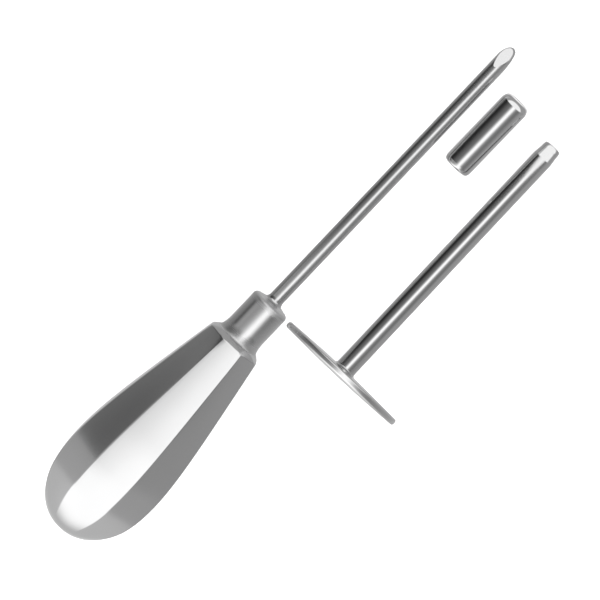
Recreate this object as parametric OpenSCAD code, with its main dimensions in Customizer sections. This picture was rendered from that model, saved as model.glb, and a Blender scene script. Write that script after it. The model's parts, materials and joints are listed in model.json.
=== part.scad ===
// Trocar and cannula with its point cap, laid out side by side on a table.
// The trocar lies on a flat of its eight-sided handle and on its point. The cannula lies on the
// rim of its shield and on its far end. The cap lies on its side. X runs from the handle to the
// point, Z is up, and the origin is in the table top, under the middle of the laid-out set.

/* [Handle] */
// Width of the handle across its flats where it is thickest
handle_flats = 40.7; // [30:0.1:50]
// Length from the thickest place back to the rounded end
butt_len = 31.3; // [20:0.1:45]
// Fullness of the rounded end: 2 is an ellipse, more is squarer
butt_fullness = 2.25; // [2:0.05:3]
// Length from the thickest place forward to the shoulder
taper_len = 64.4; // [45:0.1:90]
// Width across the flats at the shoulder
shoulder_flats = 22.3; // [20:0.1:26]
// Angle of the flats to the axis where they reach the shoulder
taper_angle = 10; // [5:0.5:14]
// How far the thickest place stays full before it tapers
belly_pull = 13; // [5:0.5:25]
// How far the straight part of the taper reaches back from the shoulder
taper_pull = 34; // [15:0.5:45]
// Wall of the two pressed shells
shell_wall = 1.2; // [0.8:0.1:2]

/* [Neck] */
// Length of the round neck from the shoulder to its front
neck_len = 19.2; // [14:0.1:30]
// Length of the shoulder, over which the eight flats bend in to the round neck
shoulder_len = 2; // [1.5:0.1:6]
// How far the shoulder is turned down on its eight ridges, and its flats stand out at its foot
shoulder_turned = 0.3; // [0.15:0.05:0.5]
// Diameter of the neck at the foot of the shoulder
neck_root_d = 18.4; // [16.5:0.1:18.5]
// Diameter of the neck at its waist
neck_d = 15.8; // [13:0.1:16.2]
// Diameter of the neck just behind its rounded front edge
neck_front_d = 15.8; // [13.5:0.1:17]
// Length of the hollow curve from the shoulder to the waist
flare_len = 5.2; // [1:0.1:6]
// Radius of the rounded front edge
neck_round = 1.7; // [0.4:0.1:2.4]
// How far the front face falls back from the rod to the rounded edge
face_drop = 0.6; // [0:0.1:1.5]
// Diameter of the neck where the lip of the shells closes round it
spigot_d = 13.6; // [13:0.1:14.4]
// Length of the shells' lip
lip_len = 4.4; // [3.5:0.1:7]
// Diameter of the collar behind the lip, which keeps the neck in the shells
collar_d = 18.6; // [16:0.1:19]
// Length of the collar
collar_len = 4; // [2:0.5:8]
// Diameter of the chamber in the neck that takes the nut
chamber_d = 11.2; // [10.8:0.1:11.6]

/* [Rod and point] */
// Diameter of the rod
rod_d = 6; // [5:0.1:7]
// Length of the rod in front of the neck, with its point
rod_out = 128.6; // [122:0.1:160]
// Depth to which the rod enters the neck, in front of its tail
rod_seat = 7; // [4:0.5:9]
// How much the radius of the rod and of the tube is turned down where they are soldered in
seat_step = 0.2; // [0.16:0.01:0.24]
// Length over which the end of the rod is rounded
point_round_len = 5.8; // [3:0.1:9]
// Distance from the end of the rod back to where its three ground facets begin
facet_len = 9.8; // [8:0.1:14]
// Angle of the facets to the axis
facet_angle = 10; // [7:0.5:12]
// Turn of the upper facet towards the side away from the cannula
facet_turn = 16; // [0:1:60]
// Diameter of the thinner tail of the rod, which takes the nut
tail_d = 4.4; // [3:0.1:4.5]
// Wall of the neck that the nut pulls against
seat_wall = 4; // [2:0.5:6]
// Thickness of the washer on the tail
washer_t = 1.2; // [0.8:0.1:2]
// Outer diameter of the washer
washer_d = 10; // [8:0.1:10.4]
// Width of the nut across its flats
nut_flats = 8; // [7.5:0.1:8.8]
// Thickness of the nut
nut_t = 4; // [2.5:0.1:5]
// How far the tail stands out behind the nut
tail_proud = 1.5; // [0:0.1:4]
// Diameter of the solder fillet at the root of the rod
fillet_d = 8.6; // [7.6:0.1:9.4]
// Length of the solder fillet along the rod
fillet_len = 2.2; // [1:0.1:3]

/* [Cannula] */
// Gap between the rod and the wall of the tube, which the rod slides in
slide_gap = 0.05; // [0.02:0.01:0.1]
// Wall of the tube
tube_wall = 0.95; // [0.6:0.05:1.2]
// Length of the tube from the back of the shield to its far end
tube_len = 115.5; // [70:0.1:118]
// Length of the slim nose of the tube
nose_len = 6; // [3:0.5:12]
// How much the nose loses from its radius
nose_drop = 0.4; // [0.1:0.05:0.45]
// Depth of the rounded rim at the far end, across the wall
nose_round = 0.4; // [0.1:0.05:0.4]
// Length of that rounding along the tube
nose_round_len = 2.5; // [0.2:0.1:3]
// Diameter of the shield
shield_d = 53.5; // [35:0.5:56]
// Thickness of the shield at its rim
rim_t = 2.6; // [1.2:0.1:3]
// Radius of the eased edges of the rim
rim_round = 0.9; // [0.2:0.05:1]
// How far each face of the shield rises from the rim to the middle
shield_crown = 0.6; // [0.3:0.1:2]
// Gap between pieces that are soldered together
solder_gap = 0.02; // [0.01:0.01:0.05]
// Size of the solder fillet between the tube and the shield
braze_leg = 0.9; // [0.5:0.1:2]
// Gap around the rod's own fillet when the shield sits against the neck
cone_gap = 0.2; // [0.1:0.05:0.4]

/* [Cap] */
// Gap between the tube and the wall of the cap
cap_gap = 0.1; // [0.05:0.01:0.2]
// Wall of the cap's sleeve
cap_wall = 1.5; // [1:0.05:2.5]
// Length of the cap with its end piece
cap_len = 33.5; // [28:0.5:60]
// Depth of the rounded outer edge at the mouth, across the wall
mouth_round = 1.1; // [0.2:0.1:1.1]
// Length of that rounding along the cap
mouth_round_len = 2.2; // [0.5:0.1:3]
// Bevel inside the mouth
mouth_bevel = 0.25; // [0.1:0.05:0.35]
// Length of the end piece that shows
plug_head = 4.4; // [4.2:0.1:6]
// Depth of the rounded edge of the end piece, towards the axis
plug_round = 2; // [0.5:0.1:2.1]
// Length of that rounding along the cap
plug_round_len = 3.2; // [1:0.1:4]
// Length of the part of the end piece inside the sleeve
plug_spigot = 2.5; // [1:0.5:5]
// How much wider than the bore the seat of the end piece is, in radius
plug_step = 0.4; // [0.2:0.05:0.7]

/* [Layout] */
// Distance between the axes of the trocar and the cannula, seen from above
cannula_aside = 35.4; // [35:0.1:60]
// How far the middle of the shield lies in front of the neck's front
cannula_ahead = 0.6; // [-4:0.1:30]
// Distance between the axes of the trocar and the cap, seen from above
cap_aside = 14.4; // [12:0.1:20]
// How far the middle of the cap lies in front of the neck's front
cap_ahead = 98.9; // [60:0.1:110]

/* [Hidden] */
$fn = 96;
SATIN = [0.70, 0.71, 0.71];
BRIGHT = [0.80, 0.81, 0.83];
SOLDER = [0.66, 0.67, 0.68];
SIDES = 8;
CURVE_STEPS = 14;
EDGE_STEPS = 5;
POINT_STEPS = 56;
PAST = 1; // how far a cutting shape runs past what it cuts

// Trocar, along its own axis: 0 is the front of the neck at the rod, and the rod points to +X.
rod_r = rod_d / 2;
rod_seat_r = rod_r - seat_step;
tail_r = tail_d / 2;
seam_x = -neck_len;
shoulder_x = seam_x - shoulder_len;
belly_x = shoulder_x - taper_len;
butt_x = belly_x - butt_len;
belly_r = handle_flats / 2;
clear_r = 2 * belly_r; // outside every corner of the handle
shoulder_r = shoulder_flats / 2;
neck_root_r = neck_root_d / 2;
lip_x = seam_x - lip_len;
neck_back_x = lip_x - collar_len;
spigot_r = spigot_d / 2;
step_x = -rod_seat;
chamber_x = step_x - seat_wall;
nut_x = chamber_x - washer_t;
tail_end_x = nut_x - nut_t - tail_proud;
fillet_r = fillet_d / 2;

// Cannula, along its own axis: 0 is the middle plane of the shield.
bore_r = rod_r + slide_gap;
tube_r = bore_r + tube_wall;
tube_seat_r = tube_r - seat_step;
nose_r = tube_r - nose_drop;
shield_r = shield_d / 2;
half_rim = rim_t / 2;
shield_face_x = half_rim + shield_crown;
tube_seat_end_x = shield_face_x + braze_leg;
tube_back_x = -shield_face_x;
tube_end_x = tube_back_x + tube_len;

// Cap, along its own axis: 0 is the mouth, and the closed end is at +X.
cap_bore_r = tube_r + cap_gap;
cap_r = cap_bore_r + cap_wall;
sleeve_len = cap_len - plug_head;
plug_seat_x = sleeve_len - plug_spigot;
plug_seat_r = cap_bore_r + plug_step;

function bezier(p, t) = pow(1 - t, 3) * p[0] + 3 * t * pow(1 - t, 2) * p[1]
    + 3 * t * t * (1 - t) * p[2] + pow(t, 3) * p[3];

// A quarter turn of an ellipse from direction a0 to a1, as points [x, r].
function quarter(centre, half_x, half_r, a0, a1, steps = EDGE_STEPS) =
    [for (i = [0:steps]) let (a = a0 + (a1 - a0) * i / steps)
        centre + [half_x * cos(a), half_r * sin(a)]];

// The rounded end of the handle, from the axis to the thickest place, drawn in by a wall.
function butt_curve(wall) =
    [for (i = [0:CURVE_STEPS]) let (a = 90 * i / CURVE_STEPS, e = 2 / butt_fullness)
        [belly_x - (butt_len - wall) * pow(cos(a), e), (belly_r - wall) * pow(sin(a), e)]];

// The taper from the thickest place to the shoulder, and down the shoulder to the seam.
function taper_curve(wall) =
    let (tip = [shoulder_x, shoulder_r - wall],
        run = [for (i = [1:CURVE_STEPS]) bezier([[belly_x, belly_r - wall],
            [belly_x + belly_pull, belly_r - wall],
            tip + taper_pull * [-cos(taper_angle), sin(taper_angle)], tip], i / CURVE_STEPS)])
    concat(run, [[seam_x, neck_root_r + shoulder_turned - wall]]);

function handle_curve(wall = 0) = concat(butt_curve(wall), taper_curve(wall));

// The point of the rod: a rounded end with three facets ground on it.
point_round_x = rod_out - point_round_len;
facet_x = rod_out - facet_len;
function rounded_r(x) =
    rod_r * sqrt(1 - pow(max(0, x - point_round_x) / point_round_len, 2));
function facet_depth(x) = rod_r - (x - facet_x) * tan(facet_angle);
function facet_dist(a) = min([for (k = [-1:2]) abs(a - facet_turn - 120 * k)]);

// Places on the lower half of the point, as [x, depth below the axis].
point_curve = [for (i = [0:POINT_STEPS], a = [90:2:270]) let (x = facet_x + facet_len * i / POINT_STEPS)
    [x, -cos(a) * min(rounded_r(x), facet_depth(x) / cos(facet_dist(a)))]];

// The rim of the shield and the far end of the tube, as [x, radius].
rim_curve = concat(
    quarter([-half_rim + rim_round, shield_r - rim_round], rim_round, rim_round, 180, 90),
    quarter([half_rim - rim_round, shield_r - rim_round], rim_round, rim_round, 90, 0));
nose_curve = concat([[tube_end_x - nose_len, tube_r]],
    quarter([tube_end_x - nose_round_len, nose_r - nose_round], nose_round_len, nose_round, 90, 0));

// A long piece that rests on two places: the slope of its axis, and the height of its origin.
function rest_slope(back, front) =
    max([for (p = back) min([for (q = front) (p[1] - q[1]) / (q[0] - p[0])])]);
function rest_height(points, tilt) = max([for (p = points) p[0] * sin(tilt) + p[1] * cos(tilt)]);

trocar_tilt = atan(rest_slope(handle_curve(), point_curve));
trocar_z = rest_height(concat(handle_curve(), point_curve), trocar_tilt);
cannula_tilt = atan(rest_slope(rim_curve, nose_curve));
cannula_z = rest_height(concat(rim_curve, nose_curve), cannula_tilt);

// The set is centred on the origin by its own ends and sides.
set_back_x = min([for (p = handle_curve()) p[0] * cos(trocar_tilt) - p[1] * sin(trocar_tilt)]);
set_front_x = max(rod_out * cos(trocar_tilt),
    cap_ahead + cap_len / 2,
    cannula_ahead + tube_end_x * cos(cannula_tilt) + nose_r * sin(cannula_tilt));
trocar_x = -(set_back_x + set_front_x) / 2;
trocar_y = (cannula_aside + shield_r - belly_r) / 2;

module trocar_frame() {
    translate([trocar_x, trocar_y, trocar_z]) rotate([0, trocar_tilt, 0]) children();
}

module cannula_frame() {
    translate([trocar_x + cannula_ahead, trocar_y - cannula_aside, cannula_z])
        rotate([0, cannula_tilt, 0]) children();
}

module cap_frame() {
    translate([trocar_x + cap_ahead - cap_len / 2, trocar_y - cap_aside, cap_r]) children();
}

// Turns an outline of [x, r] points about the X axis.
module turned(outline) {
    rotate([0, 90, 0]) rotate([0, 0, 90]) rotate_extrude()
        polygon([for (p = outline) [p[1], p[0]]]);
}

module rod_along(x0, x1, r) {
    translate([x0, 0, 0]) rotate([0, 90, 0]) cylinder(h = x1 - x0, r = r);
}

// The eight-sided pear: four pairs of flats, each pair following the same side curve.
module eight_sided(wall = 0) {
    side = handle_curve(wall);
    outline = concat(side, [for (i = [len(side) - 1:-1:1]) [side[i][0], -side[i][1]]]);
    intersection_for(k = [0:SIDES / 2 - 1])
        rotate([360 / SIDES * k, 0, 0])
            linear_extrude(height = 2 * clear_r, center = true) polygon(outline);
}

// The cone that rounds the ridges of the shoulder, with everything behind it.
module shoulder_turning() {
    ridge_r = shoulder_r / cos(180 / SIDES);
    slope = (ridge_r - shoulder_turned - neck_root_r) / shoulder_len;
    far_x = seam_x - (clear_r - neck_root_r) / slope;
    turned([[butt_x - PAST, 0], [butt_x - PAST, clear_r], [far_x, clear_r],
        [seam_x, neck_root_r], [seam_x, 0]]);
}

module handle_shell(upper) {
    keep_z = upper ? 0 : -clear_r;
    intersection() {
        difference() {
            intersection() {
                eight_sided();
                shoulder_turning();
            }
            intersection() {
                eight_sided(shell_wall);
                rod_along(butt_x, lip_x, clear_r);
            }
            rod_along(lip_x - PAST, seam_x + PAST, spigot_r + solder_gap);
        }
        translate([butt_x - PAST, -clear_r, keep_z])
            cube([seam_x - butt_x + 2 * PAST, 2 * clear_r, clear_r]);
    }
}

module handle_shell_upper() {
    color(SATIN) trocar_frame() handle_shell(true);
}

module handle_shell_lower() {
    color(SATIN) trocar_frame() handle_shell(false);
}

module neck_ferrule() {
    front_r = neck_front_d / 2;
    waist_r = neck_d / 2;
    outline = concat(
        [[neck_back_x, 0], [neck_back_x, collar_d / 2], [lip_x, collar_d / 2],
            [lip_x, spigot_r], [seam_x, spigot_r]],
        quarter([seam_x + flare_len, neck_root_r], flare_len, neck_root_r - waist_r, 180, 270),
        quarter([-face_drop - neck_round, front_r - neck_round], neck_round, neck_round, 90, 0),
        [[0, fillet_r], [0, 0]]);
    color(SATIN) trocar_frame() difference() {
        turned(outline);
        rod_along(step_x, PAST, rod_seat_r + solder_gap);
        rod_along(chamber_x - PAST, step_x + PAST, tail_r + solder_gap);
        rod_along(neck_back_x - PAST, chamber_x, chamber_d / 2);
    }
}

module stylet_rod() {
    outline = concat(
        [[tail_end_x, 0], [tail_end_x, tail_r], [step_x, tail_r], [step_x, rod_seat_r],
            [fillet_len, rod_seat_r], [fillet_len, rod_r]],
        quarter([point_round_x, 0], point_round_len, rod_r, 90, 0, CURVE_STEPS));
    color(BRIGHT) trocar_frame() difference() {
        turned(outline);
        for (k = [0:2]) rotate([facet_turn + 120 * k, 0, 0])
            translate([facet_x, 0, rod_r]) rotate([0, facet_angle, 0])
                translate([-facet_len, -rod_d, 0]) cube([3 * facet_len, 2 * rod_d, rod_d]);
    }
}

module rod_fillet() {
    inner_r = rod_seat_r + solder_gap;
    hollow = quarter([fillet_len, fillet_r], fillet_len, fillet_r - rod_r, 180, 270);
    color(SOLDER) trocar_frame()
        turned(concat([[0, inner_r]], hollow, [[fillet_len, inner_r]]));
}

module tail_washer() {
    color(BRIGHT) trocar_frame() difference() {
        rod_along(nut_x, chamber_x, washer_d / 2);
        rod_along(nut_x - PAST, chamber_x + PAST, tail_r + solder_gap);
    }
}

module tail_nut() {
    color(BRIGHT) trocar_frame() difference() {
        translate([nut_x - nut_t, 0, 0]) rotate([0, 90, 0])
            cylinder(h = nut_t, r = nut_flats / sqrt(3), $fn = 6);
        rod_along(nut_x - nut_t - PAST, nut_x + PAST, tail_r + solder_gap);
    }
}

// The hollow cone at the back of the bore, which clears the fillet on the rod.
module fillet_seat() {
    mouth_r = fillet_r + cone_gap;
    seat_end_x = tube_back_x + fillet_len + cone_gap;
    turned([[tube_back_x - PAST, 0], [tube_back_x - PAST, mouth_r], [tube_back_x, mouth_r],
        [seat_end_x, bore_r], [seat_end_x, 0]]);
}

module cannula_tube() {
    seat = [[tube_back_x, 0], [tube_back_x, tube_seat_r], [tube_seat_end_x, tube_seat_r],
        [tube_seat_end_x, tube_r]];
    color(BRIGHT) cannula_frame() difference() {
        turned(concat(seat, nose_curve, [[tube_end_x, 0]]));
        rod_along(tube_back_x - PAST, tube_end_x + PAST, bore_r);
        fillet_seat();
    }
}

module shield_plate() {
    // each face is a shallow dome, drawn as points of its arc from the tube to the rim
    face_r = shield_r - rim_round;
    dome_r = (face_r * face_r + shield_crown * shield_crown) / (2 * shield_crown);
    hole_r = tube_seat_r + solder_gap;
    dome = [for (i = [0:CURVE_STEPS]) let (r = hole_r + (face_r - hole_r) * i / CURVE_STEPS)
        [shield_face_x - dome_r + sqrt(dome_r * dome_r - r * r), r]];
    back = [for (i = [0:CURVE_STEPS - 1]) [-dome[i][0], dome[i][1]]];
    front = [for (i = [CURVE_STEPS - 1:-1:0]) dome[i]];
    color(BRIGHT) cannula_frame() difference() {
        turned(concat(back, rim_curve, front));
        fillet_seat();
    }
}

module shield_fillet() {
    inner_r = tube_seat_r + solder_gap;
    hollow = quarter([tube_seat_end_x, tube_r + braze_leg], braze_leg, braze_leg, 180, 270);
    color(SOLDER) cannula_frame()
        turned(concat([[shield_face_x, inner_r]], hollow, [[tube_seat_end_x, inner_r]]));
}

module cap_sleeve() {
    outline = concat([[0, 0]],
        quarter([mouth_round_len, cap_r - mouth_round], mouth_round_len, mouth_round, 180, 90),
        [[sleeve_len, cap_r], [sleeve_len, 0]]);
    color(BRIGHT) cap_frame() difference() {
        turned(outline);
        rod_along(-PAST, sleeve_len + PAST, cap_bore_r);
        rod_along(plug_seat_x, sleeve_len + PAST, plug_seat_r);
        turned([[-PAST, 0], [-PAST, cap_bore_r + mouth_bevel + PAST], [mouth_bevel, cap_bore_r],
            [mouth_bevel, 0]]);
    }
}

module cap_end_plug() {
    fit_r = plug_seat_r - solder_gap;
    outline = concat([[plug_seat_x, 0], [plug_seat_x, fit_r], [sleeve_len, fit_r],
            [sleeve_len, cap_r]],
        quarter([cap_len - plug_round_len, cap_r - plug_round], plug_round_len, plug_round, 90, 0),
        [[cap_len, 0]]);
    color(BRIGHT) cap_frame() turned(outline);
}

handle_shell_upper();
handle_shell_lower();
neck_ferrule();
stylet_rod();
rod_fillet();
tail_washer();
tail_nut();
cannula_tube();
shield_plate();
shield_fillet();
cap_sleeve();
cap_end_plug();
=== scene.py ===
# %% [markdown]
# # A trocar, its cannula and its cap
# Three loose steel pieces lie on a white table: a trocar with an eight-sided hollow handle, a
# tube on a round shield that slides over the trocar's rod, and a short cap for the point.
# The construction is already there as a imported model. This lesson loads it as a fixed frame,
# reads from it where each axis lies, and builds every visible surface new: turned pieces by
# spinning an outline, the handle by drawing an eight-sided face forward ring by ring.

# %% Load the frame
import json
import math

import bmesh
import bpy
from mathutils import Matrix, Vector


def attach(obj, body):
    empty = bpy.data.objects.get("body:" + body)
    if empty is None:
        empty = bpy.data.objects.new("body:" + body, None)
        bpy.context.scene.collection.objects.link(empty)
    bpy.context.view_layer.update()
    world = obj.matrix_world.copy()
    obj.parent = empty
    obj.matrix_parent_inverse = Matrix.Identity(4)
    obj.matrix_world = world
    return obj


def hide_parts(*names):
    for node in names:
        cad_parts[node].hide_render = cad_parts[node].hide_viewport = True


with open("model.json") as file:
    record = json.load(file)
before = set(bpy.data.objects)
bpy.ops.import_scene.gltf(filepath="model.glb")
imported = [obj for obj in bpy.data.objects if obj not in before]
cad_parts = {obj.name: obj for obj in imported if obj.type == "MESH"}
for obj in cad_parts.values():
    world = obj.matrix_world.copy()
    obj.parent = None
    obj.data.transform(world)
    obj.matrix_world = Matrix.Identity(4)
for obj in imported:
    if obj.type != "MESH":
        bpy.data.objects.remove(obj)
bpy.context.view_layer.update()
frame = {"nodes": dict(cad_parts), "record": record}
MM = 0.001

# %% [markdown]
# ## Three axes
# Every piece here is long and round, and each group lies tilted on the table: the trocar rests
# on its handle and its point, the cannula on its shield and its far end. It is easiest to draw
# a piece straight along X from a zero of its own and lay it down at the end. The record's
# mounts give the direction of each axis, and one piece on it gives the zero.

# %% Where each group lies
mounts = {m["name"]: m for m in frame["record"]["mounts"]}


def reach(node, point, axis):
    """The lowest and highest place of a node along an axis through a point, in metres."""
    along = [(v.co - point) @ axis for v in frame["nodes"][node].data.vertices]
    return min(along), max(along)


def lay(mount, node, share):
    """The matrix that lays a piece drawn along X onto a mount's axis, its zero and its tilt.

    The zero is at a share of the node's length: 0 is the back end and 1 the front end.
    """
    axis = Vector(mounts[mount]["axis"])
    axis = axis if axis.x > 0 else -axis
    point = Vector(mounts[mount]["pos_m"])
    low, high = reach(node, point, axis)
    tilt = -math.asin(axis.z)
    zero = point + axis * (low + share * (high - low))
    matrix = Matrix.Translation(zero) @ Matrix.Rotation(tilt, 4, "Y")
    return {"matrix": matrix, "zero": zero, "tilt": tilt}


TROCAR = lay("trocar_rod", "rod_fillet", 0)
CANNULA = lay("cannula_end", "shield_plate", 0.5)
CAP = lay("cap_bore", "cap_sleeve", 0)
for title, place in (("trocar", TROCAR), ("cannula", CANNULA), ("cap", CAP)):
    zero = [round(c / MM, 2) for c in place["zero"]]
    print(title, "from", zero, "mm, nose down", round(math.degrees(place["tilt"]), 2), "degrees")

# %% [markdown]
# ## Sizes
# These are the driving sizes of the construction in millimetres, under the names that it gives
# them. Places along the trocar start at the front of the neck, places along the cannula at the
# middle of its shield, and places along the cap at its mouth.

# %% Sizes of the trocar
HANDLE_R = 40.7 / 2
BUTT_LEN = 31.3
BUTT_FULLNESS = 2.25
TAPER_LEN = 64.4
SHOULDER_R = 22.3 / 2
TAPER_SLOPE = math.radians(10)
BELLY_PULL = 13
TAPER_PULL = 34
SHELL_WALL = 1.2
NECK_LEN = 19.2
SHOULDER_LEN = 2
SHOULDER_TURNED = 0.3
NECK_ROOT_R = 18.4 / 2
NECK_WAIST_R = 15.8 / 2
NECK_FRONT_R = 15.8 / 2
FLARE_LEN = 5.2
NECK_ROUND = 1.7
FACE_DROP = 0.6
SPIGOT_R = 13.6 / 2
LIP_LEN = 4.4
COLLAR_R = 18.6 / 2
COLLAR_LEN = 4
CHAMBER_R = 11.2 / 2
ROD_R = 3
ROD_OUT = 128.6
ROD_SEAT = 7
SEAT_STEP = 0.2
POINT_ROUND_LEN = 5.8
FACET_LEN = 9.8
FACET_ANGLE = math.radians(10)
FACET_TURN = math.radians(16)
TAIL_R = 2.2
TAIL_END = 17.7
SEAT_WALL = 4
FILLET_R = 4.3
FILLET_LEN = 2.2
SOLDER_GAP = 0.02

SEAM_X = -NECK_LEN
SHOULDER_X = SEAM_X - SHOULDER_LEN
BELLY_X = SHOULDER_X - TAPER_LEN
BUTT_X = BELLY_X - BUTT_LEN
print("handle from", BUTT_X, "to", SEAM_X, "mm")

# %% Sizes of the cannula and the cap
SLIDE_GAP = 0.05
TUBE_WALL = 0.95
TUBE_LEN = 115.5
NOSE_LEN = 6
NOSE_DROP = 0.4
NOSE_ROUND = 0.4
NOSE_ROUND_LEN = 2.5
SHIELD_R = 53.5 / 2
RIM_T = 2.6
RIM_ROUND = 0.9
SHIELD_CROWN = 0.6
BRAZE_LEG = 0.9
CONE_GAP = 0.2
CAP_GAP = 0.1
CAP_WALL = 1.5
CAP_LEN = 33.5
MOUTH_ROUND = 1.1
MOUTH_ROUND_LEN = 2.2
MOUTH_BEVEL = 0.25
PLUG_HEAD = 4.4
PLUG_ROUND = 2
PLUG_ROUND_LEN = 3.2
PLUG_SPIGOT = 2.5
PLUG_STEP = 0.4

BORE_R = ROD_R + SLIDE_GAP
TUBE_R = BORE_R + TUBE_WALL
SHIELD_FACE = RIM_T / 2 + SHIELD_CROWN
TUBE_END = TUBE_LEN - SHIELD_FACE
CAP_BORE_R = TUBE_R + CAP_GAP
CAP_R = CAP_BORE_R + CAP_WALL
SLEEVE_LEN = CAP_LEN - PLUG_HEAD
print("tube", 2 * TUBE_R, "mm thick, cap", 2 * CAP_R, "mm thick")

# %% [markdown]
# ## Turned pieces
# A lathe piece is an outline of points (place along the axis, radius) and one operator: spin
# carries the outline round the X axis and joins the last step to the first. An outline that
# starts and ends on the axis makes a closed lump, and one that is a loop off the axis makes a
# ring or a tube. Round stretches are arcs. Doubles are merged before the normals are worked
# out, or the pole of a lump would stay open and might point inwards.

# %% Helpers for turned pieces
AROUND = 128
SHARP = math.radians(28)
WELD = 0.002 * MM


def arc(centre, half_x, half_r, first, last, steps=8):
    """Points along an arc of an ellipse, with its angles in degrees: 0 is +X and 90 is outwards."""
    turns = [math.radians(first + (last - first) * i / steps) for i in range(steps + 1)]
    return [(centre[0] + half_x * math.cos(t), centre[1] + half_r * math.sin(t)) for t in turns]


def closed_up(bm):
    """Merges doubles and thin faces, then turns every face outwards."""
    bmesh.ops.remove_doubles(bm, verts=bm.verts, dist=WELD)
    bmesh.ops.dissolve_degenerate(bm, edges=bm.edges, dist=WELD)
    bmesh.ops.recalc_face_normals(bm, faces=bm.faces)


def sharp_edges(bm):
    return [e for e in bm.edges if len(e.link_faces) == 2 and e.calc_face_angle() > SHARP]


def rounded(bm, geom, width, segments, affect="EDGES"):
    """Breaks edges or corners by a width in the bmesh's own units, as a polishing wheel does."""
    bmesh.ops.bevel(
        bm, geom=geom, offset=width, offset_type="OFFSET", segments=segments,
        profile=0.5, affect=affect, clamp_overlap=True, material=-1)


def turned(outline):
    """A bmesh of the outline spun about X. Points are (place, radius) in millimetres."""
    bm = bmesh.new()
    points = [bm.verts.new((x * MM, 0, r * MM)) for x, r in outline]
    ring = outline[0][1] > 0
    pairs = zip(points, points[1:] + points[:1] if ring else points[1:])
    lines = [bm.edges.new(pair) for pair in pairs]
    bmesh.ops.spin(
        bm, geom=points + lines, cent=(0, 0, 0), axis=(1, 0, 0), dvec=(0, 0, 0),
        angle=math.tau, steps=AROUND, use_merge=True)
    closed_up(bm)
    return bm


def shown(name, bm):
    """Writes a bmesh into the mesh of a new object in the scene, and frees the bmesh."""
    mesh = bpy.data.meshes.new(name)
    bm.to_mesh(mesh)
    bm.free()
    made = bpy.data.objects.new(name, mesh)
    bpy.context.scene.collection.objects.link(made)
    return made


def piece(name, bm, place, body, replaced, material, crisp=()):
    """Lays a bmesh down on its axis and makes it a shown object that rides on its body.

    Its edges in crisp stay sharp, and so does every edge with a steep angle. Its normals are
    weighted by area, so a long straight stretch isn't bent by a round end.
    """
    bmesh.ops.transform(bm, matrix=place["matrix"], verts=bm.verts)
    for face in bm.faces:
        face.smooth = True
    for edge in sharp_edges(bm) + list(crisp):
        edge.smooth = False
    made = shown(name, bm)
    made.data.materials.append(material)
    made.modifiers.new("weighted normals", "WEIGHTED_NORMAL").keep_sharp = True
    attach(made, body)
    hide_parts(replaced)
    print(name, len(made.data.polygons), "faces")
    return made


# %% [markdown]
# ## Shader sums in Python
# Node trees are hard to read as a picture of wires and harder as a list of links. This class
# holds one output socket. The signs + - * / on it add Math nodes, also with a plain number in
# front, so 1 - mask works. Every other node comes from the method called node: its settings and
# the stops of its ramp are set first, then each of its sockets gets a number, a colour or a wire.

# %% The wire class
class Wire:
    def __init__(self, tree, socket=None):
        self.tree = tree
        self.socket = socket

    def node(self, kind, sockets=None, output=0, stops=None, **settings):
        made = self.tree.nodes.new(kind)
        for name, value in settings.items():
            setattr(made, name, value)
        if stops:
            ramp = made.color_ramp.elements
            while len(ramp) < len(stops):
                ramp.new(1)
            for element, (place, level) in zip(ramp, stops):
                element.position = place
                element.color = (level, level, level, 1)
        for name, value in (sockets or {}).items():
            if isinstance(value, Wire):
                self.tree.links.new(value.socket, made.inputs[name])
            else:
                made.inputs[name].default_value = value
        return Wire(self.tree, made.outputs[output] if made.outputs else None)

    def math(self, operation, first, second):
        return self.node("ShaderNodeMath", {0: first, 1: second}, operation=operation)

    def __add__(self, other):
        return self.math("ADD", self, other)

    def __radd__(self, other):
        return self.math("ADD", other, self)

    def __sub__(self, other):
        return self.math("SUBTRACT", self, other)

    def __rsub__(self, other):
        return self.math("SUBTRACT", other, self)

    def __mul__(self, other):
        return self.math("MULTIPLY", self, other)

    def __rmul__(self, other):
        return self.math("MULTIPLY", other, self)

    def __truediv__(self, other):
        return self.math("DIVIDE", self, other)

    def __rtruediv__(self, other):
        return self.math("DIVIDE", other, self)

    def between(self, low, high):
        """0 below low, 1 above high and a smooth rise between them."""
        sockets = {"Value": self, "From Min": low, "From Max": high}
        return self.node("ShaderNodeMapRange", sockets, interpolation_type="SMOOTHSTEP")

    def blend(self, share, first, second):
        """A colour from the first at 0 to the second at 1."""
        sockets = {0: share, 6: first, 7: second}
        return self.node("ShaderNodeMix", sockets, output=2, data_type="RGBA")

    def parts(self):
        """The three parts of a vector, as wires."""
        split = self.node("ShaderNodeSeparateXYZ", {0: self}).socket.node
        return [Wire(self.tree, out) for out in split.outputs]


def new_tree(block):
    """Empties a material's or a world's node tree and returns a wire to build on."""
    block.use_nodes = True
    block.node_tree.nodes.clear()
    return Wire(block.node_tree)


# %% [markdown]
# ## Steel
# Polished steel has almost no colour of its own. What the eye reads is the sharpness of its
# reflections and the small faults in them: the fine lines that the polishing wheel leaves
# along or round the piece, a few hairline scratches among them, and faint cloudy patches where
# it was handled. So one function makes every steel here from three numbers, its shade, its
# roughness and how deep its lines are, and from the grain of the lines. The coordinates are
# turned and moved onto the piece's own axis first, so that the lines follow it. A polishing
# wheel doesn't get into a hollow or over an edge, so a piece can say how far the wheel reaches.

# %% Steel for any axis
CLOUDS = (55, 75, 75)
CLOUD_SHADE = (0.95, 0.95, 0.955)
HAIRLINES = (90, 2600, 2600)
HAIRLINE_SPAN = (0.70, 0.76)
HAIRLINE_DULL = 0.05
HAIRLINE_DEPTH = 0.6
UNREACHED = 0.24


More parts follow.
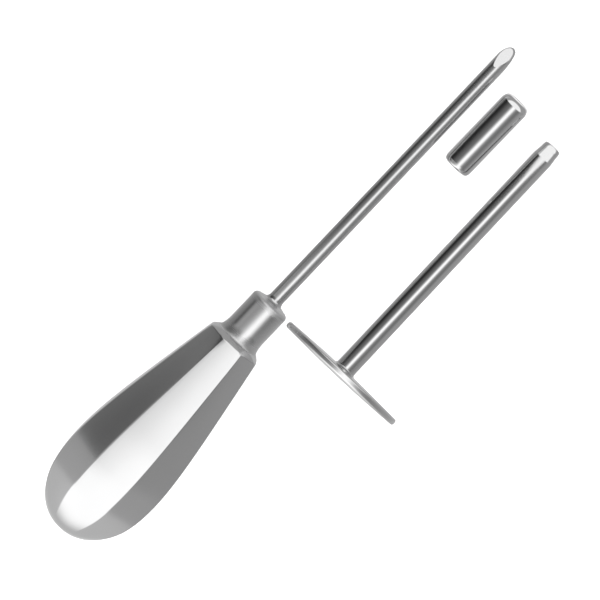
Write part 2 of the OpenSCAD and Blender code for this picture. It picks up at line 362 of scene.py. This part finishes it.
def axis_coordinates(wire, place):
    """Object coordinates measured along a piece's own axis from its zero, in metres."""
    raw = wire.node("ShaderNodeTexCoord", output="Object")
    turn = {"Vector": raw, "Location": place["zero"], "Rotation": (0, place["tilt"], 0)}
    return wire.node("ShaderNodeMapping", turn, vector_type="TEXTURE")


def stretched_noise(wire, where, scale, detail=3):
    """Noise between 0 and 1 whose grains are 1 / scale long along each axis."""
    grains = wire.node("ShaderNodeMapping", {"Vector": where, "Scale": scale})
    return wire.node("ShaderNodeTexNoise", {"Vector": grains, "Scale": 1.0, "Detail": detail})


def steel(name, place, shade, roughness, lines, line_depth, haze=0.03, wheel=None):
    """Steel whose fine lines are grains of the scale given by lines, per metre along x, y, z.

    The lines are line_depth deep, in mm. Where a wheel is given, as four places along the axis
    in mm, the gloss is full between the middle two and fades to dull at the outer two.
    """
    material = bpy.data.materials.new(name)
    wire = new_tree(material)
    where = axis_coordinates(wire, place)
    brush = stretched_noise(wire, where, lines)
    cloud = stretched_noise(wire, where, CLOUDS, detail=4)
    hairline = stretched_noise(wire, where, HAIRLINES, detail=1).between(*HAIRLINE_SPAN)
    gloss = roughness + (cloud - 0.5) * haze + (brush - 0.5) * haze + hairline * HAIRLINE_DULL
    if wheel:
        back, back_full, front_full, front = (x * MM for x in wheel)
        x = where.parts()[0]
        reached = x.between(back, back_full) * (1 - x.between(front_full, front))
        gloss = gloss + (1 - reached) * UNREACHED
    cloudy = [shade * share for share in CLOUD_SHADE]
    tint = wire.blend(cloud, (shade, shade, shade, 1), (*cloudy, 1))
    height = brush - hairline * HAIRLINE_DEPTH
    bump = wire.node("ShaderNodeBump", {"Height": height, "Distance": line_depth * MM})
    surface = wire.node("ShaderNodeBsdfPrincipled", {
        "Base Color": tint, "Metallic": 1.0, "Roughness": gloss, "Normal": bump})
    wire.node("ShaderNodeOutputMaterial", {"Surface": surface})
    return material


ALONG = (40, 9000, 9000)
ROUND = (9000, 60, 60)
NECK_EDGE = -FACE_DROP - NECK_ROUND
NECK_WHEEL = (SEAM_X, SEAM_X + FLARE_LEN, NECK_EDGE - NECK_ROUND, NECK_EDGE)

satin = steel("satin_steel", TROCAR, 0.64, 0.2, ALONG, 0.0006)
satin_turned = steel("satin_turned_steel", TROCAR, 0.64, 0.17, ALONG, 0.0006, wheel=NECK_WHEEL)
bright_rod = steel("polished_rod", TROCAR, 0.64, 0.22, ALONG, 0.0003)
bright_cannula = steel("polished_cannula", CANNULA, 0.66, 0.11, ALONG, 0.0003)
bright_shield = steel("polished_shield", CANNULA, 0.69, 0.24, ROUND, 0.0003)
bright_cap = steel("polished_cap", CAP, 0.66, 0.1, ALONG, 0.0003)
plain = steel("plain_steel", TROCAR, 0.55, 0.38, ROUND, 0.002, haze=0.1)
solder_rod = steel("solder_at_rod", TROCAR, 0.6, 0.22, CLOUDS, 0.004, haze=0.08)
solder_shield = steel("solder_at_shield", CANNULA, 0.6, 0.22, CLOUDS, 0.004, haze=0.08)
print("steels:", len(bpy.data.materials))

# %% [markdown]
# ## The handle
# The grip is a hollow pear with eight long flats, made of two pressed shells. A first idea is
# to spin the side outline in eight steps, but then every ridge is a knife edge and every flat
# a single strip. So the handle is drawn forward instead: one octagonal face has its corners
# rounded, its sides divided and pushed out a trace, as polishing crowns a flat, and is then
# extruded again and again, each time to the radius that the outline gives there. The outline
# is a slightly fuller ellipse at the rounded end and one cubic curve from there to the shoulder.

# %% Outline of the handle
BUTT_RINGS = 22
BUTT_CROWDING = 1.15
TAPER_RINGS = 30


def bezier(corners, t):
    """The point at a share t of the cubic curve that four corners pull on."""
    shares = ((1 - t) ** 3, 3 * t * (1 - t) ** 2, 3 * t * t * (1 - t), t ** 3)
    return tuple(sum(s * c[i] for s, c in zip(shares, corners)) for i in (0, 1))


def handle_outline():
    """Stations (place, distance from the axis to a flat), from beside the pole to the shoulder.

    They crowd a little towards the pole, where the outline turns fastest.
    """
    power = 2 / BUTT_FULLNESS
    rings = []
    for i in range(1, BUTT_RINGS + 1):
        turn = math.pi / 2 * (i / BUTT_RINGS) ** BUTT_CROWDING
        back = BUTT_LEN * math.cos(turn) ** power
        rings.append((BELLY_X - back, HANDLE_R * math.sin(turn) ** power))
    pull_x = TAPER_PULL * math.cos(TAPER_SLOPE)
    pull_r = TAPER_PULL * math.sin(TAPER_SLOPE)
    corners = (
        (BELLY_X, HANDLE_R), (BELLY_X + BELLY_PULL, HANDLE_R),
        (SHOULDER_X - pull_x, SHOULDER_R + pull_r), (SHOULDER_X, SHOULDER_R))
    return rings + [bezier(corners, i / TAPER_RINGS) for i in range(1, TAPER_RINGS + 1)]


stations = handle_outline()
print(len(stations), "rings, thickest", round(2 * max(r for x, r in stations), 2), "mm")

# %% One octagonal face
SIDES = 8
SIDE_CUTS = 9
LONG_SIDE = 0.5
RIDGE_ROUND = 0.02
CROWN = 0.10


def octagon_face(bm):
    """An octagon across the X axis with a flat on top, at a distance of 1 from axis to flat."""
    half = math.pi / SIDES
    upright = Matrix.Rotation(math.pi / 2, 4, "Y") @ Matrix.Rotation(half, 4, "Z")
    bmesh.ops.create_circle(
        bm, segments=SIDES, radius=1 / math.cos(half), cap_ends=True, matrix=upright)
    rounded(bm, bm.verts[:], RIDGE_ROUND, segments=3, affect="VERTICES")
    long_sides = [e for e in bm.edges if e.calc_length() > LONG_SIDE]
    bmesh.ops.subdivide_edges(bm, edges=long_sides, cuts=SIDE_CUTS)
    for v in bm.verts:
        v.co *= 1 - CROWN + CROWN / v.co.length
    return bm.faces[:][0]


handle = bmesh.new()
lead = octagon_face(handle)
share_of = handle.verts.layers.float.new("share")
for v in lead.verts:
    v[share_of] = v.co.length
print("octagon with", len(lead.verts), "corners")

# %% [markdown]
# ## Drawing it forward
# Each corner of the face now keeps a share, its distance from the axis: 1 in the middle of a
# flat and a little more at a ridge. A ring of the handle is the same face with every corner at
# its share of the radius there. At the rounded end the shares fade to 1, so the ridges die out
# and the butt is round. On the shoulder the flats bend in, while a cone trims their ridges. The
# hole left at the butt gets a small face that is poked, with its middle pulled out to the pole.

# %% Draw the handle forward
BUTT_FADE = 17
SHOULDER_EASE = 0.3
SHOULDER_RINGS = 8
RIDGE_R = SHOULDER_R / math.cos(math.pi / SIDES)


def put_corners(face, place_of):
    """Puts each corner of a face at the (place, radius) in mm that place_of gives for its share.

    Its direction from the axis stays.
    """
    for v in face.verts:
        x, r = place_of(v[share_of])
        outwards = Vector((0, v.co.y, v.co.z)).normalized()
        v.co = Vector((x * MM, 0, 0)) + outwards * (r * MM)


def faded(share, x):
    """The share of a corner near the rounded end, where the ridges die out."""
    u = min((x - BUTT_X) / BUTT_FADE, 1)
    return 1 + (share - 1) * u * u * (3 - 2 * u)


def drawn_forward(bm, face, place_of):
    """Extrudes the leading face to a new place and takes the old one out of the inside.

    The corners carry their shares with them.
    """
    grown = bmesh.ops.extrude_face_region(bm, geom=[face])["geom"]
    lead = next(g for g in grown if isinstance(g, bmesh.types.BMFace))
    bm.faces.remove(face)
    put_corners(lead, place_of)
    return lead


def on_shoulder(x):
    """The places of a ring on the shoulder: eight flats bend in, and a cone rounds their ridges."""
    rise = (SEAM_X - x) / SHOULDER_LEN
    foot = NECK_ROOT_R + SHOULDER_TURNED
    flat = foot + (SHOULDER_R - foot) * rise
    cone = NECK_ROOT_R + (RIDGE_R - SHOULDER_TURNED - NECK_ROOT_R) * rise
    return lambda share: (x, min(flat * share, cone))


x, r = stations[0]
put_corners(lead, lambda share: (x, r * faded(share, x)))
for x, r in stations[1:-1]:
    lead = drawn_forward(handle, lead, lambda share: (x, r * faded(share, x)))
lead = drawn_forward(handle, lead, on_shoulder(SHOULDER_X))
shoulder_edge = lead.edges[:]
for i in range(1, SHOULDER_RINGS + 1):
    lead = drawn_forward(handle, lead, on_shoulder(SHOULDER_X + SHOULDER_LEN * i / SHOULDER_RINGS))
bmesh.ops.delete(handle, geom=[lead], context="FACES_ONLY")
first_ring = [e for e in handle.edges if e.is_boundary and e.verts[0].co.x < BELLY_X * MM]
butt = bmesh.ops.contextual_create(handle, geom=first_ring)["faces"]
pole = bmesh.ops.poke(handle, faces=butt)["verts"][0]
pole.co = Vector((BUTT_X * MM, 0, 0))
rounded(handle, shoulder_edge, SHOULDER_EASE * MM, segments=3)
closed_up(handle)
print("handle", len(handle.faces), "faces")

# %% [markdown]
# ## Two pressed shells
# The whole skin is cut through its middle into an upper and a lower shell. Each half is an open
# skin, so it gets its wall from a Solidify modifier, which grows inwards and leaves the outside
# where it is. A narrow Bevel eases the cut rims, and Weighted Normal lets the large flats keep
# their own direction, so that only the narrow strips at the ridges turn the light.

# %% Cut the handle and give it a wall
SEAM_GAP = 0.02
RIM_EASE = 0.08
RIM_ANGLE = math.radians(60)


def half_shell(name, side, node):
    """The half of the handle above the seam, side 1, or below it, side -1.

    The normals that piece adds are taken off and put back after the wall and the eased rims.
    """
    bm = handle.copy()
    bmesh.ops.bisect_plane(
        bm, geom=bm.verts[:] + bm.edges[:] + bm.faces[:], plane_co=(0, 0, side * SEAM_GAP * MM),
        plane_no=(0, 0, -side), clear_outer=True)
    shell = piece(name, bm, TROCAR, "trocar", node, satin)
    shell.modifiers.clear()
    wall = shell.modifiers.new("wall", "SOLIDIFY")
    wall.thickness = SHELL_WALL * MM
    wall.offset = -1
    eased = shell.modifiers.new("eased rims", "BEVEL")
    eased.width = RIM_EASE * MM
    eased.segments = 2
    eased.limit_method = "ANGLE"
    eased.angle_limit = RIM_ANGLE
    shell.modifiers.new("flat sides", "WEIGHTED_NORMAL").keep_sharp = True
    return shell


half_shell("upper_shell", 1, "handle_shell_upper")
half_shell("lower_shell", -1, "handle_shell_lower")
handle.free()

# %% [markdown]
# ## The neck
# The neck is turned from one bar: a rounded front edge, a plain waist, a hollow curve up to the
# shoulder, and behind it the spigot and the collar that the shells close over. The bore is part
# of the same loop: a seat for the rod, a hole for its tail, and a chamber for the nut.

# %% Spin the neck
STEP_X = -ROD_SEAT
CHAMBER_X = STEP_X - SEAT_WALL
LIP_X = SEAM_X - LIP_LEN
NECK_BACK_X = LIP_X - COLLAR_LEN
SEAT_R = ROD_R - SEAT_STEP
FLARE_RISE = NECK_ROOT_R - NECK_WAIST_R
FLARE_STEPS = 12
NECK_EASE = 0.06

neck_front = arc((NECK_EDGE, NECK_FRONT_R - NECK_ROUND), NECK_ROUND, NECK_ROUND, 90, 0)
neck_flare = arc((SEAM_X + FLARE_LEN, NECK_ROOT_R), FLARE_LEN, FLARE_RISE, 180, 270, FLARE_STEPS)
neck_bore = [
    (0, SEAT_R + SOLDER_GAP), (STEP_X, SEAT_R + SOLDER_GAP), (STEP_X, TAIL_R + SOLDER_GAP),
    (CHAMBER_X, TAIL_R + SOLDER_GAP), (CHAMBER_X, CHAMBER_R), (NECK_BACK_X, CHAMBER_R)]
neck_foot = [(NECK_BACK_X, COLLAR_R), (LIP_X, COLLAR_R), (LIP_X, SPIGOT_R), (SEAM_X, SPIGOT_R)]
neck = turned([(0, FILLET_R)] + neck_bore + neck_foot + neck_flare + neck_front)
rounded(neck, sharp_edges(neck), NECK_EASE * MM, segments=2)
piece("neck", neck, TROCAR, "trocar", "neck_ferrule", satin_turned)

# %% [markdown]
# ## The rod and its ground point
# The rod is one lump from the thin tail to its rounded end. The point has three facets, as if the
# round end were held against a grinding wheel three times. Each is a plane that cuts the lump and
# throws the outer part away, and the open cut is filled with one flat face. The planes stay clear
# of each other and of the very tip, so each rim is one closed loop. Such a rim lies at a shallow
# angle where it begins, so all of it is marked sharp by hand.

# %% Spin the rod and grind the point
FACETS = 3
FACET_X = ROD_OUT - FACET_LEN
POINT_STEPS = 28

rounded_end = arc((ROD_OUT - POINT_ROUND_LEN, 0), POINT_ROUND_LEN, ROD_R, 90, 0, POINT_STEPS)
rod = turned([
    (-TAIL_END, 0), (-TAIL_END, TAIL_R), (STEP_X, TAIL_R), (STEP_X, SEAT_R), (FILLET_LEN, SEAT_R),
    (FILLET_LEN, ROD_R)] + rounded_end)
crisp = []
for k in range(FACETS):
    turn = FACET_TURN + k * math.tau / FACETS
    outwards = Vector((0, math.sin(turn), math.cos(turn)))
    start = Vector((FACET_X, 0, 0)) + outwards * ROD_R
    wheel = outwards * math.cos(FACET_ANGLE) + Vector((math.sin(FACET_ANGLE), 0, 0))
    lump = rod.verts[:] + rod.edges[:] + rod.faces[:]
    cut = bmesh.ops.bisect_plane(
        rod, geom=lump, plane_co=start * MM, plane_no=wheel, clear_outer=True)
    rim = [g for g in cut["geom_cut"] if isinstance(g, bmesh.types.BMEdge)]
    facet = bmesh.ops.contextual_create(rod, geom=rim)["faces"]
    crisp += rim
    print("facet", k + 1, "rim of", len(rim), "edges, filled with", len(facet))
bmesh.ops.recalc_face_normals(rod, faces=rod.faces)
piece("rod", rod, TROCAR, "trocar", "stylet_rod", bright_rod, crisp)

# %% [markdown]
# ## Solder, and two hidden pieces
# A hollow curve of solder fills the corner between the neck and the rod. It is a ring like the
# others, with a quarter of an ellipse for its outside. The washer and the nut sit inside the
# neck where nothing shows them, so they keep the shapes of the construction and only get a steel.

# %% Solder at the root of the rod
hollow = arc((FILLET_LEN, FILLET_R), FILLET_LEN, FILLET_R - ROD_R, 180, 270)
root = turned([(0, SEAT_R + SOLDER_GAP)] + hollow + [(FILLET_LEN, SEAT_R + SOLDER_GAP)])
piece("rod_solder", root, TROCAR, "trocar", "rod_fillet", solder_rod)
for node in ("tail_washer", "tail_nut"):
    hidden = frame["nodes"][node].data
    hidden.materials.clear()
    hidden.materials.append(plain)
    print(node, "in plain steel")

# %% [markdown]
# ## The tube of the cannula
# The tube has a slim nose that closes softly over the rod, and a hollow cone behind, so that it
# slides home over the solder at the neck. Where the nose begins, two points lie close together:
# they keep the bend there short, so that the long tube stays straight in its reflections.

# %% Spin the tube
TUBE_SEAT_R = TUBE_R - SEAT_STEP
TUBE_SEAT_END = SHIELD_FACE + BRAZE_LEG
NOSE_R = TUBE_R - NOSE_DROP
NOSE_CREASE = 0.3
NOSE_STEPS = 14
SEAT_SLOPE = (FILLET_R + CONE_GAP - BORE_R) / (FILLET_LEN + CONE_GAP)


def cone_x(radius):
    """Where the hollow cone at the back of the bore has a given radius."""
    return -SHIELD_FACE + (FILLET_R + CONE_GAP - radius) / SEAT_SLOPE


rim_centre = (TUBE_END - NOSE_ROUND_LEN, NOSE_R - NOSE_ROUND)
nose_rim = arc(rim_centre, NOSE_ROUND_LEN, NOSE_ROUND, 90, 0, NOSE_STEPS)
crease_drop = NOSE_DROP * NOSE_CREASE / NOSE_LEN
crease = [
    (TUBE_END - NOSE_LEN, TUBE_R), (TUBE_END - NOSE_LEN + NOSE_CREASE, TUBE_R - crease_drop)]
tube = turned(
    [(cone_x(TUBE_SEAT_R), TUBE_SEAT_R), (TUBE_SEAT_END, TUBE_SEAT_R), (TUBE_SEAT_END, TUBE_R)]
    + crease + nose_rim + [(TUBE_END, BORE_R), (cone_x(BORE_R), BORE_R)])
piece("tube", tube, CANNULA, "cannula", "cannula_tube", bright_cannula)

# %% [markdown]
# ## The shield
# The shield is a lens: two shallow domes and a rounded rim. The domes are arcs of one large
# circle, so the light runs over them without a break. At the back the tube's hollow cone runs on
# into the shield, and a short search finds the radius at which it comes out through the dome.

# %% Spin the shield and its solder
DOME_STEPS = 28
FACE_R = SHIELD_R - RIM_ROUND
DOME_R = (FACE_R ** 2 + SHIELD_CROWN ** 2) / (2 * SHIELD_CROWN)
HOLE_R = TUBE_SEAT_R + SOLDER_GAP
SEARCH_STEP = 0.005
SEARCH_STEPS = 400


def dome_x(radius):
    """Where the front dome has a given radius. The back dome is its mirror image."""
    return SHIELD_FACE - DOME_R + math.sqrt(DOME_R ** 2 - radius ** 2)


radii = [HOLE_R + (FACE_R - HOLE_R) * i / DOME_STEPS for i in range(DOME_STEPS)]
front_dome = [(dome_x(r), r) for r in radii]
tried = (HOLE_R + i * SEARCH_STEP for i in range(SEARCH_STEPS))
cone_mouth = next(r for r in tried if cone_x(r) <= -dome_x(r))
back_dome = [(-x, r) for x, r in front_dome if r > cone_mouth]
back_rim = arc((-RIM_T / 2 + RIM_ROUND, FACE_R), RIM_ROUND, RIM_ROUND, 180, 90)
front_rim = arc((RIM_T / 2 - RIM_ROUND, FACE_R), RIM_ROUND, RIM_ROUND, 90, 0)
shield = turned(
    [(cone_x(HOLE_R), HOLE_R), (cone_x(cone_mouth), cone_mouth)] + back_dome + back_rim
    + front_rim + front_dome[::-1])
piece("shield", shield, CANNULA, "cannula", "shield_plate", bright_shield)

braze = arc((TUBE_SEAT_END, TUBE_R + BRAZE_LEG), BRAZE_LEG, BRAZE_LEG, 180, 270)
braze = turned([(SHIELD_FACE, HOLE_R)] + braze + [(TUBE_SEAT_END, HOLE_R)])
piece("shield_solder", braze, CANNULA, "cannula", "shield_fillet", solder_shield)

# %% [markdown]
# ## The cap
# A thick sleeve with a rounded mouth, and an end piece whose spigot fits a wider seat in it.
# Both are rings and lumps of the same kind as before. The joint between them is a hair's width,
# and polishing has all but closed it.

# %% Spin the cap
PLUG_SEAT_X = SLEEVE_LEN - PLUG_SPIGOT
PLUG_SEAT_R = CAP_BORE_R + PLUG_STEP
MOUTH_STEPS = 14
PLUG_STEPS = 18

mouth_centre = (MOUTH_ROUND_LEN, CAP_R - MOUTH_ROUND)
mouth = arc(mouth_centre, MOUTH_ROUND_LEN, MOUTH_ROUND, 180, 90, MOUTH_STEPS)
sleeve = turned(
    [(MOUTH_BEVEL, CAP_BORE_R), (0, CAP_BORE_R + MOUTH_BEVEL)] + mouth
    + [(SLEEVE_LEN, CAP_R), (SLEEVE_LEN, PLUG_SEAT_R)]
    + [(PLUG_SEAT_X, PLUG_SEAT_R), (PLUG_SEAT_X, CAP_BORE_R)])
piece("sleeve", sleeve, CAP, "cap", "cap_sleeve", bright_cap)

SPIGOT_FIT_R = PLUG_SEAT_R - SOLDER_GAP
end_centre = (CAP_LEN - PLUG_ROUND_LEN, CAP_R - PLUG_ROUND)
end_round = arc(end_centre, PLUG_ROUND_LEN, PLUG_ROUND, 90, 0, PLUG_STEPS)
plug = turned(
    [(PLUG_SEAT_X, 0), (PLUG_SEAT_X, SPIGOT_FIT_R), (SLEEVE_LEN, SPIGOT_FIT_R)]
    + [(SLEEVE_LEN, CAP_R)] + end_round + [(CAP_LEN, 0)])
piece("end_plug", plug, CAP, "cap", "cap_end_plug", bright_cap)

# %% [markdown]
# ## A tent of light
# Polished steel is a picture of what stands round it. In the photograph the ground is pure white,
# yet the sides of every piece are dark grey with one hard white streak, so the light came from
# a graded tent: a bright strip above, a dark band beside it, mid grey lower down. The tent here
# is card bent right round the long axis, seen only by reflections. Its brightness depends on the
# angle from straight up, towards the side away from the cannula. It is made of six arches in a
# row, from behind the handle to past the cap, because the streak is broad and soft on the satin
# handle, and narrow beside an almost black band on the polished rod and tube. The stage is
# measured in metres.

# %% How bright each arch is, by angle
ARCH_BUTT = [
    (-180, 0.7), (-150, 0.6), (-129, 0.55), (-92, 0.46), (-60, 0.45), (-37, 0.7), (-28, 1.3),
    (-17, 1.6), (3, 1.6), (14, 1.4), (28, 0.8), (45, 0.5), (80, 0.48), (117, 0.5), (150, 0.6),
    (180, 0.7)]
ARCH_HANDLE = [
    (-180, 0.7), (-150, 0.6), (-129, 0.5), (-92, 0.4), (-65, 0.33), (-45, 0.33), (-37, 0.55),
    (-31, 0.95), (-25, 1.3), (-17, 1.6), (0, 1.6), (6, 1.2), (14, 0.8), (25, 0.55), (39, 0.41),
    (58, 0.44), (70, 0.22), (76, 0.12), (81, 0.13), (86, 0.18), (97, 0.3), (117, 0.35),
    (150, 0.6), (180, 0.7)]
ARCH_NECK = [
    (-180, 0.7), (-150, 0.55), (-126, 0.48), (-105, 0.44), (-88, 0.4), (-73, 0.25), (-60, 0.2),
    (-48, 0.2), (-37, 0.32), (-31, 0.56), (-25, 1.02), (-13, 1.55), (-2, 1.4), (4, 1.15),
    (9, 0.9), (19, 0.6), (31, 0.44), (42, 0.38), (54, 0.43), (66, 0.4), (74, 0.2), (80, 0.16),
    (86, 0.2), (97, 0.3), (117, 0.35), (150, 0.55), (180, 0.7)]
ARCH_FRONT = [
    (-180, 0.5), (-150, 0.5), (-126, 0.48), (-88, 0.4), (-73, 0.3), (-60, 0.25), (-48, 0.28),
    (-37, 0.45), (-31, 0.7), (-25, 1.1), (-17, 1.45), (-13, 1.6), (-3, 1.6), (3, 1.3), (9, 0.9),
    (19, 0.45), (31, 0.35), (66, 0.3), (74, 0.27), (90, 0.28), (117, 0.35), (150, 0.5),
    (180, 0.5)]
ARCH_MAIN = [
    (-180, 0.55), (-165, 0.62), (-145, 0.6), (-129, 0.55), (-113, 0.48), (-99, 0.42),
    (-77, 0.43), (-63, 0.31), (-49, 0.22), (-37, 0.26), (-33, 0.3), (-29, 0.37), (-25, 0.5),
    (-21, 0.74), (-17, 1.05), (-13, 1.42), (-3, 1.6), (3, 1.3), (11, 0.6), (19, 0.28),
    (27, 0.195), (35, 0.17), (51, 0.093), (59, 0.055), (73, 0.018), (83, 0.04), (93, 0.18),
    (105, 0.37), (117, 0.4), (150, 0.6), (165, 0.62), (180, 0.55)]
ARCH_TIPS = [(-180, 1.3), (-165, 0.75)] + ARCH_MAIN[2:-2] + [(165, 0.75), (180, 1.3)]
ARCHES = {
    "arch_butt": ARCH_BUTT, "arch_handle": ARCH_HANDLE, "arch_neck": ARCH_NECK,
    "arch_front": ARCH_FRONT, "arch_main": ARCH_MAIN, "arch_tips": ARCH_TIPS}
ARCH_ENDS = (-0.25, -0.135, -0.036, -0.01, 0.013, 0.14, 0.182)
print("arches:", len(ARCHES), "from", ARCH_ENDS[0], "to", ARCH_ENDS[-1], "m")

# %% Raise the arches
ARCH_R = 0.3
ARCH_STEPS = 96
RAMP_GAIN = 2
RAMP_SPAN = 180


def hide_from(card, *rays):
    """Makes a card invisible to some kinds of ray, such as camera, glossy or shadow."""
    for ray in rays:
        setattr(card, "visible_" + ray, False)


def glowing(name, levels):
    """A material whose glow follows the angle round the X axis, from straight up towards +Y.

    A ramp holds no level above 1, so the levels are divided by a gain and multiplied back.
    """
    material = bpy.data.materials.new(name)
    wire = new_tree(material)
    _, y, z = wire.node("ShaderNodeTexCoord", output="Object").parts()
    turn = wire.math("ARCTAN2", y, z) / math.pi * 0.5 + 0.5
    stops = [((angle / RAMP_SPAN + 1) / 2, level / RAMP_GAIN) for angle, level in levels]
    glow = wire.node("ShaderNodeValToRGB", {"Fac": turn}, stops=stops)
    lamp = wire.node("ShaderNodeEmission", {"Color": glow, "Strength": RAMP_GAIN})
    wire.node("ShaderNodeOutputMaterial", {"Surface": lamp})
    return material


def arch(name, start, end, levels):
    """A round card from one place on the X axis to another, which only reflections see."""
    bm = bmesh.new()
    ends = [bm.verts.new((x, 0, -ARCH_R)) for x in (start, end)]
    line = bm.edges.new(ends)
    bmesh.ops.spin(
        bm, geom=ends + [line], cent=(0, 0, 0), axis=(1, 0, 0), angle=math.tau, steps=ARCH_STEPS,
        use_merge=True)
    card = shown(name, bm)
    card.data.materials.append(glowing(name, levels))
    hide_from(card, "camera", "diffuse", "shadow", "transmission")
    print(name, "from", start, "to", end, "m")


for (name, levels), start, end in zip(ARCHES.items(), ARCH_ENDS, ARCH_ENDS[1:]):
    arch(name, start, end, levels)

# %% [markdown]
# ## The ground
# The ground is one wide sheet of white paper. Paper alone comes out light grey, so it also glows
# a little, which lifts it to pure white and keeps a faint shadow under each piece. Reflections
# don't see it, because the undersides in the photograph are grey and not white.

# %% The white ground
FLOOR_HALF = 6
FLOOR_GLOW = 0.6
PAPER = 0.8

bm = bmesh.new()
bmesh.ops.create_grid(bm, x_segments=1, y_segments=1, size=FLOOR_HALF)
floor = shown("floor", bm)
white = bpy.data.materials.new("white_ground")
wire = new_tree(white)
paper = wire.node("ShaderNodeBsdfDiffuse", {"Color": (PAPER, PAPER, PAPER, 1)})
glow = wire.node("ShaderNodeEmission", {"Color": (1, 1, 1, 1), "Strength": FLOOR_GLOW})
ground = wire.node("ShaderNodeAddShader", {0: paper, 1: glow})
wire.node("ShaderNodeOutputMaterial", {"Surface": ground})
floor.data.materials.append(white)
hide_from(floor, "glossy")
print("ground", 2 * FLOOR_HALF, "m wide")

# %% [markdown]
# ## The world behind the arches
# The arches are open at both ends, and a surface that faces out there shows the world: the round
# butt, the shoulder, the shield and the tips. It is grey at the horizon and bright overhead, and
# lighter behind the handle than in front of the point. Height is measured on a slant, with its
# zero lower behind, and a bow lifts it towards the sides. Straight below it is plain light.

# %% The world
WORLD_LOW = 0.46
WORLD_LOW_BEHIND = 0.2
WORLD_HIGH = 1.35
WORLD_HIGH_BEHIND = 1.6
WORLD_BELOW = 1.0
WORLD_SLANT = 0.35
WORLD_BOW = 0.15
BEHIND_SPAN = 0.6
RISE_SPAN = 0.2
RISE_SPAN_BEHIND = 0.6
BELOW_SPAN = (0.6, 0.97)

world = bpy.data.worlds.new("tent")
bpy.context.scene.world = world
wire = new_tree(world)
x, y, z = wire.node("ShaderNodeTexCoord", output="Generated").parts()
height = z - WORLD_SLANT * x - WORLD_BOW * y * y
behind = (0.0 - x).between(0.0, BEHIND_SPAN)
low = WORLD_LOW + WORLD_LOW_BEHIND * behind
high = WORLD_HIGH + (WORLD_HIGH_BEHIND - WORLD_HIGH) * behind
sides = low + (high - low) * height.between(0.0, RISE_SPAN + RISE_SPAN_BEHIND * behind)
level = sides + (WORLD_BELOW - sides) * (0.0 - z).between(*BELOW_SPAN)
sky = wire.node("ShaderNodeBackground", {"Color": (1, 1, 1, 1), "Strength": level})
wire.node("ShaderNodeOutputWorld", {"Surface": sky})
print("world in", len(world.node_tree.nodes), "nodes")

# %% [markdown]
# ## The camera
# The photograph looks almost straight down, and the long axis runs from lower left to upper
# right. So the camera hangs over the set with a long lens, leans by a few degrees towards the
# point and the trocar's side, and is turned about its own view until the axis runs as it should.

# %% The camera
TARGET = Vector((0.0017, 0.0143, 0.0134))
LEAN_FORWARD = math.radians(11.3)
LEAN_ASIDE = math.radians(3)
AXIS_TURN = math.radians(46.2)
DISTANCE = 1.0
FOCAL_LENGTH = 162.16
SENSOR = 36
NEAREST = 0.05
FARTHEST = 30

towards = Vector((math.tan(LEAN_FORWARD), math.tan(LEAN_ASIDE), 1)).normalized()
along = Vector((1, 0, 0))
along = (along - towards * along.dot(towards)).normalized()
across = towards.cross(along)
right = along * math.cos(AXIS_TURN) - across * math.sin(AXIS_TURN)
up = along * math.sin(AXIS_TURN) + across * math.cos(AXIS_TURN)

lens = bpy.data.cameras.new("camera")
lens.lens = FOCAL_LENGTH
lens.sensor_width = SENSOR
lens.clip_start = NEAREST
lens.clip_end = FARTHEST
camera = bpy.data.objects.new("camera", lens)
bpy.context.scene.collection.objects.link(camera)
turned_to = Matrix((right, up, towards)).transposed().to_4x4()
camera.matrix_world = Matrix.Translation(TARGET + towards * DISTANCE) @ turned_to
bpy.context.scene.camera = camera
bpy.context.scene.view_settings.view_transform = "Standard"
print("camera at", [round(c, 3) for c in camera.location])
